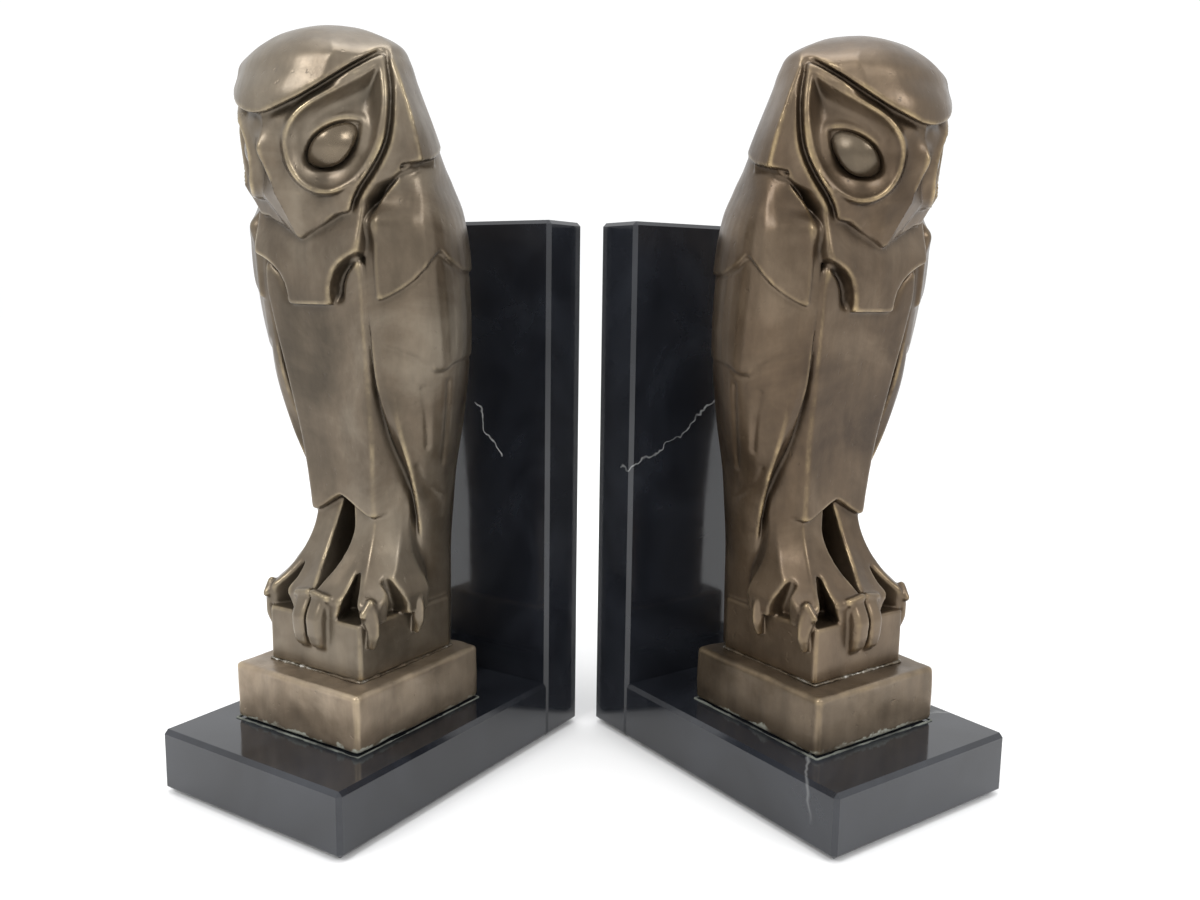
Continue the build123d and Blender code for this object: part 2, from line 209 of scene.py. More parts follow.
# Rows of a height and half an outline, from the front seam round to the back one.
HEAD = (
    (168, ((0, 34), (8, 34), (16, 35), (25, 40), (28, 46), (26, 57), (16, 67), (0, 70))),
    (178, ((0, 21), (10, 23), (22, 30), (32, 41), (33.5, 48), (30, 58), (18, 68), (0, 72))),
    (186, ((0, 15), (10, 18), (22, 26), (35, 40), (35.5, 48), (31, 58), (18, 68.5), (0, 72))),
    (195, ((0, 12), (10, 15), (22, 23.5), (36.4, 39.8), (35.4, 47), (31, 57), (18.5, 68), (0, 72))),
    (200, ((0, 12), (10, 14.5), (21, 21.5), (36.2, 38.7), (34.8, 46), (30, 56.2), (18, 67.2), (0, 71.3))),
    (207, ((0, 12.6), (9, 13.8), (20, 19.6), (35.4, 37.0), (33.2, 44.5), (28.2, 54.6), (17, 65), (0, 69.4))),
    (213, ((0, 13.2), (9, 14.4), (18.8, 19.4), (33.8, 36.2), (31.6, 43), (26.4, 53.2), (16, 62.8), (0, 67))),
    (219, ((0, 16.0), (10, 17.2), (18.6, 21.6), (31.4, 36.0), (29.8, 42), (25.0, 51.4), (15, 60.3),
          (0, 63.8))),
    (224, ((0, 18.2), (10, 19.6), (19.2, 24.0), (28.4, 36.8), (27.6, 43), (23.6, 50.5), (14, 57.6),
          (0, 60.6))),
    (228.5, ((0, 22.5), (8, 23.6), (14.8, 27.6), (24.2, 40.4), (23.8, 44.6), (20.8, 49.4),
          (12.6, 54.8), (0, 57.4))),
    (232.2, ((0, 28.6), (5.8, 29.6), (11.0, 33.8), (15.8, 41), (15.9, 44.2), (13.6, 48), (8.4, 51.8),
          (0, 53.8))),
    (234.6, ((0, 35.6), (3.4, 36.5), (6.6, 39.3), (8.8, 43), (8.8, 45.6), (7.0, 48.4), (4, 50.4), (0, 51.2))),
    (235.5, ((0, 39.2), (2, 39.8), (3.8, 41.5), (5.0, 43.8), (5.0, 45.3), (4, 47), (2.2, 48.2), (0, 48.7))),
    (236.0, ((0, 43.4), (.5, 43.5), (.9, 43.9), (1.2, 44.4), (1.2, 45.0), (.9, 45.5), (.5, 45.8), (0, 45.9))),
)
BODY = (
    (39, ((0, 58.5), (14, 58.5), (17.2, 58.6), (18.4, 59.6), (18.5, 63), (18.5, 67), (18, 72),
          (14, 75.8), (0, 76.3))),
    (60, ((0, 58), (14, 58), (17.3, 58), (18.5, 58.9), (18.8, 63), (18.9, 67.5), (18.2, 72),
          (14, 76.4), (0, 77))),
    (76, ((0, 58), (14, 58), (17.6, 57.6), (19, 56.8), (20.3, 62), (20.4, 67.5), (18.2, 73),
          (13, 77.4), (0, 78))),
    (88, ((0, 57), (14, 57), (18.6, 56), (20.7, 53.4), (22.6, 60), (22.6, 66.5), (19, 73.6),
          (13, 78.2), (0, 79.3))),
    (100, ((0, 52), (14, 52), (19.5, 51.5), (23.2, 48.3), (25.3, 56), (25, 65), (20, 74), (13, 79),
          (0, 80.6))),
    (115, ((0, 46), (16, 46.5), (19.6, 43.0), (24.6, 42.4), (29.5, 52), (29.6, 63), (23, 74),
          (14, 79.5), (0, 81.2))),
    (130, ((0, 42), (17.6, 42.5), (19.9, 37), (25.6, 38), (33.2, 48.5), (33.8, 60), (26.8, 73),
          (15.5, 79), (0, 80.8))),
    (145, ((0, 39), (19, 39.5), (20.5, 34.3), (25.2, 35.6), (35.5, 44.5), (36, 58.5), (28.8, 71.5),
          (16.5, 78), (0, 79.3))),
    (160, ((0, 37), (19.8, 37), (20.9, 32.5), (25.4, 33.6), (36, 42), (36.6, 56.5), (29.5, 70),
          (17.5, 76.5), (0, 78))),
    (172, ((0, 37), (19.4, 37), (20.6, 32.2), (25.8, 32.8), (36, 41), (36.5, 54.5), (30, 68),
          (18, 75), (0, 76.5))),
    (178, ((0, 38), (19, 38), (20.8, 31.8), (26.4, 32.0), (35.4, 41), (35.8, 54), (29.6, 67),
          (18, 74), (0, 76))),
    (183, ((0, 39), (19, 39), (23, 37), (25, 35.4), (34.2, 42), (34.5, 53), (29, 66), (17.5, 73), (0, 75))),
    (190, ((0, 42), (20, 42), (26.5, 40.5), (29.2, 38.9), (32.5, 44), (32, 52), (27, 64), (17, 71), (0, 73))),
    (198, ((0, 46), (16, 46), (24, 46), (29, 45), (31, 48), (30.5, 54), (25, 62), (15, 68), (0, 70))),
    (206, ((0, 47), (15, 47), (22, 47), (26, 47), (27.6, 49), (27, 54), (22, 60), (13.5, 65.2), (0, 67.6))),
)
# Rows of a height and the whole outline of one leg.
LEG = (
    (54, ((0.2, 28.6), (6.5, 28.6), (19.5, 29.4), (23.2, 31.5), (23.4, 55), (18, 60), (0.2, 60))),
    (60, ((0.2, 28.0), (6.6, 28.2), (19.6, 29.2), (23.4, 32.5), (23.6, 55.5), (18, 60), (0.2, 60))),
    (63.5, ((0.3, 27.4), (7.0, 28.2), (19.6, 28.8), (23.6, 34), (24.0, 55.5), (18, 60), (0.3, 60))),
    (67, ((1.2, 30.6), (7.4, 32), (17.6, 32.4), (22.6, 38.5), (23.2, 54.5), (18, 60), (1.2, 60))),
    (71, ((2.9, 34.4), (8.2, 35.4), (15.8, 35.8), (21.4, 42.5), (21.6, 53), (18, 60), (2.9, 60))),
    (76, ((4.0, 38.4), (8.8, 38.9), (14.2, 39.0), (19.6, 46), (20.0, 52), (17.6, 60), (4.0, 60))),
    (82, ((4.2, 41.9), (8.8, 41.8), (13.2, 41.8), (18.4, 48.4), (19.0, 52), (17.4, 60), (4.2, 60))),
    (88, ((3.0, 43.5), (8.2, 43.3), (12.7, 43.2), (17.6, 49.5), (18.6, 52.5), (17.4, 60), (3.0, 60))),
    (97, ((0.4, 45), (7.2, 44.8), (12.4, 44.6), (17.2, 50.5), (18.2, 53), (17.4, 60), (0.4, 60))),
)
PANEL_HALF = ((84, 13.6), (95, 14.1), (110, 15.4), (130, 17.4), (150, 19.6), (160, 20.4), (166, 19.6),
              (170, 18.8), (177, 16.8), (183, 18.2), (189, 25.2), (194, 32), (200, 33))
PANEL_FRONT = ((84, 41.4), (95, 40.6), (110, 39.3), (130, 36), (150, 32.6), (160, 31.2), (170, 30.6),
               (177, 32.2), (183, 33.6), (189, 35.4), (194, 40), (200, 42))
BIB_EDGE = ((153.5, 8.9), (157, 8.9), (160, 9.6), (163, 11.4), (165.5, 14.2), (167.5, 17.8), (168.8, 21.5),
            (172, 22), (185, 22))
BROW = ((-30, 8.2), (-22, 7.9), (-19.5, 7.7), (-17, 8.3), (-14, 9.6), (-8, 12.6), (-2.5, 15.9), (4, 20.1),
        (9, 23.1), (14.5, 26.0), (19, 27.0), (26, 28))
DISC = ((14.9, 23.8), (15.9, 15.4), (15.5, 8.6), (13.9, 1.6), (10.7, -4.9), (6.2, -10.0), (1.0, -12.8),
        (-3.5, -13.0), (-8.0, -10.8), (-11.2, -6.8), (-12.6, -1.8), (-12.4, 2.6), (-10.0, 7.4),
        (-5.4, 11.6), (1.6, 15.6), (9.0, 19.6))
TEMPLE = ((16.5, 29), (17.1, 22), (17.8, 14.5), (17.3, 6.2), (15.8, 0.1), (12.5, -6.2), (8.9, -11.6),
          (7.0, -15.6), (6.4, -19), (6, -26))
HOOD = ((16.9, 28.5), (19.0, 22), (21.4, 14.5), (23.6, 7.6), (24.8, 1.6), (25.6, -3.2))
EYE_SHAPE = ((8.4, 6.4), (4.5, 6.6), (0.2, 5.2), (-3.8, 2.4), (-6.2, -1.4), (-6.6, -5.0), (-3.8, -6.6),
             (0.4, -6.2), (3.9, -4.2), (6.4, -0.8), (8.0, 2.8))
SHIELD = (
    (170, (28.4, 31.0, 32.4, 33.4, 34.6)),
    (174, (25.7, 28.5, 29.9, 31.0, 32.6)),
    (178, (23.0, 26.0, 27.6, 28.9, 31.0)),
    (185, (18.6, 22.2, 24.2, 26.0, 29.0)),
    (192, (14.8, 18.4, 20.2, 22.4, 26.6)),
    (197.5, (12.1, 15.8, 17.2, 20.0, 25.4)),
    (200, (13.2, 15.2, 15.8, 19.8, 25.0)),
    (204, (15.0, 15.0, 15.6, 20.4, 25.0)),
    (208, (15.6, 16.0, 17.4, 21.4, 26.0)),
)
SHIELD_X = (0, 4, 8.5, 15, 24)
HEAD_CRISP = (2, 3)
BODY_CRISP = (0, 1, 2, 3)
BIB_BOTTOM = 153.5
BIB_RISE = 2.6
PANEL_HEM = ((0, 93.4), (3, 92.0), (7, 89.6), (11, 87.4), (13, 87.2), (16, 88.4))
PANEL_SPREAD = ((150, 0.32), (178, 0.0))
PANEL_BACK = ((150, 60), (180, 52), (190, 50), (200, 50))
UPPER_FEATHERS = ((28, 152.8), (33.7, 155), (36.5, 157.5), (39.8, 162), (43, 166.5), (46, 169.4), (50, 167),
                  (56, 164.6), (62, 164), (90, 165))
LOWER_FEATHERS = ((28, 144.5), (36, 142), (41.8, 139), (45, 136.5), (47.5, 134.2), (52, 134.4), (59, 137),
                  (90, 139))
QUILLS = (
    (((46, 129), (49, 120), (52, 110)), 0.6),
    (((54, 131), (57, 118), (60, 104)), 0.6),
    (((50, 104), (53, 99), (57, 96.5), (64, 92)), 0.45),
)
HEAD_HEM = ((0, 172.6), (9.7, 177.4), (14.2, 179.7), (19.3, 180.4), (21.5, 182.5), (25, 188), (30, 191.5),
            (34, 194), (40, 196))
HOOD_HEM = ((36, 0), (38, 194), (47, 196), (56, 200), (70, 202), (90, 202))
CLAW_X = 3.3
CLAW_FRONT = ((46.6, 27.4), (48.4, 25.4), (52, 24.4), (57, 24.0), (59.5, 24.8), (64, 27.2))
CLAW_HALF = ((47, 2.3), (52, 2.8), (58, 2.95))
SIDE_CLAWS = (31.4, 51.6)
BOWL_DEPTH = 4.3
BOWL_REACH = 6.0
LID_HEIGHT = 0.5
SWELL_HEIGHT = 0.7
SOCKET_DEPTH = 1.7
RIM_HEIGHT = 0.75
GROOVE_DEPTH = 2.7
EYE_DOME = 3.3
FACE_LOW = -40
FACE_STEP = 0.2


def curve(points, per):
    """A smooth curve through points, with `per` steps from one to the next."""
    p = np.array(points, float)
    n = len(p)
    out = []
    for i in range(n - 1):
        p0, p1, p2, p3 = p[max(i - 1, 0)], p[i], p[i + 1], p[min(i + 2, n - 1)]
        for t in np.arange(per) / per:
            bend = (2 * p0 - 5 * p1 + 4 * p2 - p3) * t**2
            out.append(0.5 * (2 * p1 + (p2 - p0) * t + bend + (3 * p1 - p0 - 3 * p2 + p3) * t**3))
    out.append(p[-1])
    return np.array(out)


def rounded(sections, crisp):
    """Adds points between the ones that aren't crisp corners, so that an outline bends smoothly."""
    out = []
    for z, half in sections:
        p = np.array(half, float)
        new = []
        for i in range(len(p) - 1):
            new.append(p[i])
            before = p[i - 1] if i > 0 else p[i + 1] * (-1, 1)
            after = p[i + 2] if i + 2 < len(p) else p[i] * (-1, 1)
            left = (p[i + 1] - p[i]) if i in crisp else (p[i + 1] - before) / 2
            right = (p[i + 1] - p[i]) if i + 1 in crisp else (after - p[i]) / 2
            if i in crisp and i + 1 in crisp:
                continue
            for t in (0.25, 0.5, 0.75):
                new.append((2 * t**3 - 3 * t**2 + 1) * p[i] + (t**3 - 2 * t**2 + t) * left
                           + (3 * t**2 - 2 * t**3) * p[i + 1] + (t**3 - t**2) * right)
        new.append(p[-1])
        out.append((z, new))
    return out


def closed_sd(u, w, pts):
    """Signed distance to a closed outline given as rows of two numbers."""
    p = np.asarray(pts)
    return polygon_sd(u, w, list(p[:, 0]), list(p[:, 1]))


def ramp(d, w):
    """A smooth step from 0 to 1 as d goes from -w to w."""
    t = np.clip(d / (2 * w) + 0.5, 0, 1)
    return t * t * (3 - 2 * t)


def table(t, v):
    """Straight-line interpolation of rows (place, value)."""
    a = np.array(t, float)
    return np.interp(v, a[:, 0], a[:, 1])


def face_maps(u, w):
    """Maps over the plane of the face: heights of skin and eye, and distances from the lines on it."""
    disc = closed_sd(u, w, curve([*DISC, DISC[0]], 4)[:-1])
    temple = -closed_sd(u, w, np.vstack([curve(TEMPLE, 3), [(60, -26), (60, 28)]]))
    hood = closed_sd(u, w, np.vstack([curve(HOOD, 3), [(60, -3.2), (60, 28.5)]]))
    brow = -closed_sd(u, w, np.vstack([curve(BROW, 3), [(60, 28), (60, 60), (-60, 60), (-60, 8)]]))
    eye = closed_sd(u, w, curve([*EYE_SHAPE, EYE_SHAPE[0]], 3)[:-1])
    bend = -0.37 * np.maximum(0, -9 - u) - 0.014 * np.maximum(0, w - 3) ** 2
    slope = np.clip((-disc - 1.0) / BOWL_REACH, 0, 1)
    bowl = -BOWL_DEPTH * np.sin(slope * PI / 2) - ramp(w - 9, 4) * np.clip((-disc - 1) / 3, 0, 1)
    lid = LID_HEIGHT * ramp(2.4 - eye, 0.5) * ramp(w - (1.0 - 0.25 * u), 2.0) * (disc < 0)
    swell = SWELL_HEIGHT * np.exp(-np.maximum(eye, 0) / 3.0) * (disc < 0)
    socket = -SOCKET_DEPTH * ramp(0.25 - eye, 0.3)
    rim = RIM_HEIGHT * np.exp(-((disc + 0.35) / 0.75) ** 2)
    skin = bend + np.where(disc < 0, bowl, 0) + lid + swell + socket + rim
    groove = -GROOVE_DEPTH * ramp(disc - 0.55, 0.4)
    skin = skin + groove - 0.5 * np.maximum(0, -13.5 - w)
    hollow = 1.3 * np.clip(np.minimum(temple, hood) / 4.0, 0, 1) * ramp(w + 20, 8)
    facet = bend + 0.1 - 0.7 * ramp(hood - 0.7, 0.5) - hollow
    skin = np.where(temple > 0, np.maximum(skin, -6), skin)
    share = ramp(temple - 0.3, 0.35)
    skin = skin * (1 - share) + facet * share
    ball = -EYE_DOME + EYE_DOME * (1 - ((u - 0.6) / 7.6) ** 2 - ((w + 0.2) / 6.8) ** 2)
    return {"skin": skin, "ball": ball, "eye": eye, "disc": disc,
            "brow": brow, "temple": temple, "hood": hood}


def over_face(X, Y, Z):
    """Distances out of the face, along it and up it, from the middle of the eye."""
    x, y, z = X - EYE[0], Y - EYE[1], Z - EYE[2]
    out = x * FN[0] + y * FN[1] + z * FN[2]
    along = x * FT[0] + y * FT[1] + 0 * z
    up = x * FW[0] + y * FW[1] + z * FW[2]
    return out, along, up


def look(face_map, along, up):
    """Values of a face map at distances along and up the face."""
    across = np.clip((along - FACE_LOW) / FACE_STEP, 0, face_map.shape[0] - 1.01)
    above = np.clip((up - FACE_LOW) / FACE_STEP, 0, face_map.shape[1] - 1.01)
    i, j = across.astype(np.int32), above.astype(np.int32)
    s, t = (across - i).astype(np.float32), (above - j).astype(np.float32)
    m = face_map.astype(np.float32)
    return (m[i, j] * (1 - s) + m[i + 1, j] * s) * (1 - t) + (m[i, j + 1] * (1 - s) + m[i + 1, j + 1] * s) * t


def up_z(values):
    """Values along z, shaped to go with a block's coordinates."""
    return values[None, None, :].astype(np.float32)


def add_trunk(b):
    S, X, Y, Z = b.part((-9, 0, 0), (99, 99, 209))
    b.f[S] = np.minimum(b.f[S], loft_sd(X, Y, Z, rounded(BODY, BODY_CRISP)))


def add_chest(b):
    """The panel between the wings, the bib on it and the hollow beside the bib."""
    S, X, Y, Z = b.part((-9, 0, 80), (99, 99, 199))
    zz = Z.ravel()
    half = up_z(lerp_table(PANEL_HALF, zz))
    front = up_z(lerp_table(PANEL_FRONT, zz))
    under = table(PANEL_HEM, np.abs(X)).astype(np.float32)
    spread = up_z(table(PANEL_SPREAD, zz))
    panel = smax(front - Y, (X - half - spread * np.maximum(Y - front, 0)) * 0.95, 1.1)
    panel = smax(panel, under - Z, 0.7)
    panel = np.maximum(panel, Y - up_z(table(PANEL_BACK, zz)))
    edge = up_z(table(BIB_EDGE, zz))
    sides = smax((X - edge) * 0.62, BIB_BOTTOM - Z, 0.8)
    bib = smax(smax(front - BIB_RISE - Y, sides, 0.9), Z - 186, 0.5)
    bib = np.maximum(bib, Y - 50)
    dish = 2.3 * np.exp(-((X - edge - 1.4) / 1.9) ** 2) * ramp(Z - 155.5, 2.0) * ramp(166.2 - Z, 1.5)
    panel = np.where(X > edge, panel + dish.astype(np.float32), panel)
    b.f[S] = np.minimum(b.f[S], np.minimum(panel, bib))


def feather_edge(line, y, z):
    """Distance above a stepped feather line on the wing."""
    return -closed_sd(y, z, np.vstack([curve(line, 3), [(90, 260), (20, 260)]]))


def carve_wing(b):
    """Two stepped rows of feathers and three quill lines."""
    S, X, Y, Z = b.part((20, 30, 86), (99, 78, 200))
    y, z = np.meshgrid(Y.ravel(), Z.ravel(), indexing="ij")
    upper = feather_edge(UPPER_FEATHERS, y, z)
    lower = feather_edge(LOWER_FEATHERS, y, z)
    relief = 0.85 * ramp(upper, 0.4) + 0.5 * ramp(lower, 0.45)
    relief = relief - 0.4 * np.exp(-((upper + 0.3) / 0.6) ** 2) - 0.3 * np.exp(-((lower + 0.3) / 0.6) ** 2)
    for line, depth in QUILLS:
        p = np.array(line)
        away = polygon_sd(y, z, list(p[:, 0]), list(p[:, 1]), closed=False)
        relief = relief - depth * np.exp(-(away / 0.7) ** 2)
    fade = ramp(X - 24.2 + 0.05 * np.maximum(0, 110 - Z), 0.9) * ramp(194 - Z, 4)
    b.f[S] = b.f[S] - (relief[None] * fade).astype(np.float32) + np.float32(0.6) * fade.astype(np.float32)


def shield_sd(X, Y, Z, disc, brow, temple):
    """The beak and cheeks, which stand in front of the face."""
    rows = lerp_table([(z, np.array(v)) for z, v in SHIELD], Z.ravel())
    across = np.abs(X.ravel())
    front = np.stack([np.interp(across, SHIELD_X, row) for row in rows], 1)[:, None, :].astype(np.float32)
    shield = smax((front - Y) * 0.75, temple + 1.2, 0.8)
    shield = smax(shield, 0.2 - disc, 0.6)
    return smax(shield, brow - 0.1 + 1.2, 0.8)


def add_head(b, maps):
    """The hooded head, cut back to the face inside the hood ridge and below the brow."""
    S, X, Y, Z = b.part((-9, 0, 166), (99, 99, 242))
    out, along, up = over_face(X, Y, Z)
    disc, brow, temple = (look(maps[name], along, up) for name in ("disc", "brow", "temple"))
    whole = np.minimum(look(maps["hood"], along, up) + 0.2, 0.25 - brow)
    face = smin((out - look(maps["skin"], along, up)) * 0.8, whole, 0.5)
    front = np.minimum(face, shield_sd(X, Y, Z, disc, brow, temple))
    head = smax(loft_sd(X, Y, Z, rounded(HEAD, HEAD_CRISP)), front, 0.35)
    low = table(HEAD_HEM, np.abs(X.ravel()))[:, None, None]
    low = np.maximum(low, table(HOOD_HEM, Y.ravel())[None, :, None]).astype(np.float32)
    head = smax(head, (low - Z) * 0.85, 0.6)
    neck = smin(capsule_sd(X, Y, Z, (27.2, 42.6, 193.0), (27.8, 50, 198), 4.5, 4.2),
                capsule_sd(X, Y, Z, (18.0, 40.0, 184.0), (25.0, 42.0, 191.0), 3.0, 4.2), 1.0)
    throat = capsule_sd(X, Y, Z, (-2, 39.4, 193.2), (22.4, 39.4, 193.2), 2.0, 2.0)
    b.f[S] = np.minimum(b.f[S], np.minimum(np.minimum(head, neck), throat))


def add_legs(b):
    """A leg with one gap between toes at the front corner and one at the side."""
    S, X, Y, Z = b.part((-9, 0, 50), (30, 70, 99))
    leg = loft_sd(X, Y, Z, LEG, 0.8, half=False)
    q = 0.45 * X - 0.89 * Y
    s = 0.89 * X + 0.45 * Y
    gap = polygon_sd(s, Z, (20.4, 30.8, 30.2, 27.6, 26.4), (54, 54, 58, 71.2, 70.4))
    gap = smax(gap, (-33.5 + (Z - 57) * 0.45) - q, 1.0)
    side_gap = polygon_sd(Y, Z, (36.8, 46.4, 46.0, 39.4, 38.2), (54, 54, 59.5, 71.0, 70.6))
    side_gap = smax(side_gap, 16.5 + (Z - 57) * 0.25 - X, 1.0)
    leg = smax(smax(leg, -gap, 0.9), -side_gap, 0.9)
    leg = smax(leg, 56.6 - Z, 1.2)
    b.f[S] = smin(b.f[S], leg, 0.8)


def add_claws(b):
    """One claw over the front of the perch and two over its side."""
    S, X, Y, Z = b.part((-9, 20, 44), (30, 60, 70))
    front = up_z(table(CLAW_FRONT, Z.ravel()))
    half = up_z(table(CLAW_HALF, Z.ravel()))
    claw = smax(front - Y, np.abs(X - CLAW_X) - half, 1.0)
    claw = smax(claw, (X - CLAW_X) * 0.8 - (Y - front) * 0.6 - 1.6, 0.8)
    claw = smax(claw, 46.8 - Z, 0.8)
    claw = smax(claw, Z - 64.2, 0.8)
    feet = np.minimum(b.f[S], np.maximum(claw, Y - 32))
    feet = smin(feet, capsule_sd(X, Y, Z, (0.9, 27.6, 64.6), (6.6, 28.2, 63.4), 1.25, 1.35), 0.7)
    for y in SIDE_CLAWS:
        knuckle = capsule_sd(X, Y, Z, (21.0, y, 61.0), (23.2, y, 56.2), 2.9, 2.5)
        tip = capsule_sd(X, Y, Z, (23.2, y, 56.2), (21.6, y + 0.2, 50.2), 2.5, 1.3)
        nail = smax(np.minimum(knuckle, tip), np.abs(Y - y) * 0.8 + (X - 22.9) * 0.7 - 1.7, 0.5)
        cuff = np.minimum(capsule_sd(X, Y, Z, (21.4, y - 3.2, 60.6), (22.0, y - 0.4, 64.2), 1.15, 1.25),
                          capsule_sd(X, Y, Z, (22.0, y - 0.4, 64.2), (21.6, y + 3.3, 61.0), 1.25, 1.1))
        feet = smin(np.minimum(feet, nail), cuff, 0.6)
    b.f[S] = feet


def add_perch(b):
    """The low block under the feet, with its edges just broken."""
    S, X, Y, Z = b.part((-9, 20, 30), (30, 80, 62))
    qx, qy, qz = np.abs(X) - 19.3, np.abs(Y - 49.2) - 20.3, np.abs(Z - 48) - 8.3
    beyond = np.sqrt(np.maximum(qx, 0) ** 2 + np.maximum(qy, 0) ** 2 + np.maximum(qz, 0) ** 2)
    within = np.minimum(np.maximum(np.maximum(qx, qy), qz), 0)
    b.f[S] = np.minimum(b.f[S], (beyond + within - 0.7).astype(np.float32))


def eye_sd(b, maps):
    """The field of one eye on its own, and where its first sample stands."""
    S, X, Y, Z = b.part((5, 8, 184), (32, 40, 212))
    out, along, up = over_face(X, Y, Z)
    eye = smax((out - look(maps["ball"], along, up)) * 0.85, look(maps["eye"], along, up) + 0.25, 0.8)
    eye = np.maximum(eye, -5.5 - out)
    return eye.astype(np.float32), (b.x[S[0]][0], b.y[S[1]][0], b.z[S[2]][0])


def field(h):
    """Half of one owl from the seam at x = 0, and its eye."""
    b = Block((-1.2, 4, 37), (41, 87, 242), h)
    grid = np.meshgrid(np.arange(FACE_LOW, 45, FACE_STEP), np.arange(FACE_LOW, 60, FACE_STEP), indexing="ij")
    maps = face_maps(*grid)
    add_trunk(b)
    add_chest(b)
    carve_wing(b)
    add_head(b, maps)
    add_legs(b)
    add_claws(b)
    add_perch(b)
    return b, b.f, eye_sd(b, maps)


def soften(f):
    """One light three-point blur along each axis."""
    for axis in range(3):
        before, middle, after = [slice(None)] * 3, [slice(None)] * 3, [slice(None)] * 3
        before[axis], middle[axis], after[axis] = slice(0, -2), slice(1, -1), slice(2, None)
        g = f.copy()
        g[tuple(middle)] = 0.25 * f[tuple(before)] + 0.5 * f[tuple(middle)] + 0.25 * f[tuple(after)]
        f = g
    return f


def used_only(points, faces):
    """Drops the points that no face uses."""
    used = np.unique(faces)
    number = np.full(len(points), -1)
    number[used] = np.arange(len(used))
    return points[used], number[faces]


def mirror(v, q, h):
    """Cuts a surface at x = 0, pulls its edge onto the seam and joins the mirrored half."""
    q = q[(v[q][:, :, 0] > -h * 0.25).any(1)]
    v = v.copy()
    v[:, 0] = np.where(v[:, 0] < h * 0.5, 0, v[:, 0])
    v, q = used_only(v, q)
    seam = v[:, 0] < 1e-6
    q = q[~seam[q].all(1)]
    other = np.where(seam, np.arange(len(v)), np.arange(len(v)) + len(v))
    flipped = v.copy()
    flipped[:, 0] *= -1
    return used_only(np.vstack([v, flipped]), np.vstack([q, other[q][:, ::-1]]))


# ---------------------------------------------------------------- where each book end stands
def book_end_matrix(side):
    """The frame of one book end (mm, y towards the books) in the row's frame (metres)."""
    mounts = {m["name"]: m for m in frame["record"]["mounts"]}
    ahead = Vector(mounts[f"{side}_book_face"]["axis"]).normalized()
    across = Vector((ahead.y, -ahead.x, 0.0))
    origin = Vector(mounts[f"{side}_base_rest"]["pos_m"]) - ahead * HALF_LENGTH * MM
    origin.z = FELT * MM
    place = Matrix.Identity(4)
    for row in range(3):
        place[row][0] = across[row] * MM
        place[row][1] = ahead[row] * MM
        place[row][2] = (0.0, 0.0, MM)[row]
        place[row][3] = origin[row]
    return place


PLACES = {side: book_end_matrix(side) for side in ("left", "right")}


# ---------------------------------------------------------------- meshes from fields
def blur(values, passes):
    """Repeated three-point blur along each axis."""
    for _ in range(passes):
        for axis in range(3):
            v = np.moveaxis(values, axis, 0)
            v[1:-1] = 0.25 * v[:-2] + 0.5 * v[1:-1] + 0.25 * v[2:]
    return values


def sample(volume, low, step, points):
    """Values of a sampled volume at points."""
    p = (points - np.array(low)) / step
    p = np.clip(p, 0, np.array(volume.shape) - 1.001)
    i = p.astype(np.int32)
    t = p - i
    out = np.zeros(len(p))
    for dx in (0, 1):
        for dy in (0, 1):
            for dz in (0, 1):
                weight = t[:, 0] if dx else 1 - t[:, 0]
                weight = weight * (t[:, 1] if dy else 1 - t[:, 1]) * (t[:, 2] if dz else 1 - t[:, 2])
                out += weight * volume[i[:, 0] + dx, i[:, 1] + dy, i[:, 2] + dz]
    return out


def shape_marks(f, low, step, points):
    """Two marks per vertex: worn edge (1 on sharp outer edges) and hollow (1 deep in grooves)."""
    solid = np.clip(0.5 - f / step, 0, 1)
    fine = blur(solid.copy(), max(2, int(1.6 / step ** 2)))
    wide = blur(fine.copy(), int(7.0 / step ** 2))
    near = sample(fine, low, step, points)
    far = sample(wide, low, step, points)
    worn = np.clip((0.455 - near) * 8.0, 0, 1)
    hollow = np.clip((far - 0.52) * 4.5, 0, 1)
    return worn, hollow


def mesh_object(name, points, faces, side, material, marks=None):
    """A mesh object from points in a book end's own frame (mm)."""
    place = np.array(PLACES[side])
    world = points @ place[:3, :3].T + place[:3, 3]
    mesh = bpy.data.meshes.new(name)
    mesh.vertices.add(len(world))
    mesh.vertices.foreach_set("co", world.astype(np.float32).ravel())
    mesh.loops.add(faces.size)
    mesh.loops.foreach_set("vertex_index", faces.astype(np.int32).ravel())
    mesh.polygons.add(len(faces))
    mesh.polygons.foreach_set("loop_start", np.arange(0, faces.size, faces.shape[1], dtype=np.int32))
    mesh.polygons.foreach_set("use_smooth", np.ones(len(faces), bool))
    mesh.update(calc_edges=True)
    mesh.validate()
    for label, values in (marks or {}).items():
        layer = mesh.attributes.new(label, "FLOAT", "POINT")
        layer.data.foreach_set("value", values.astype(np.float32))
    made = bpy.data.objects.new(name, mesh)
    bpy.context.scene.collection.objects.link(made)
    mesh.materials.append(material)
    return made


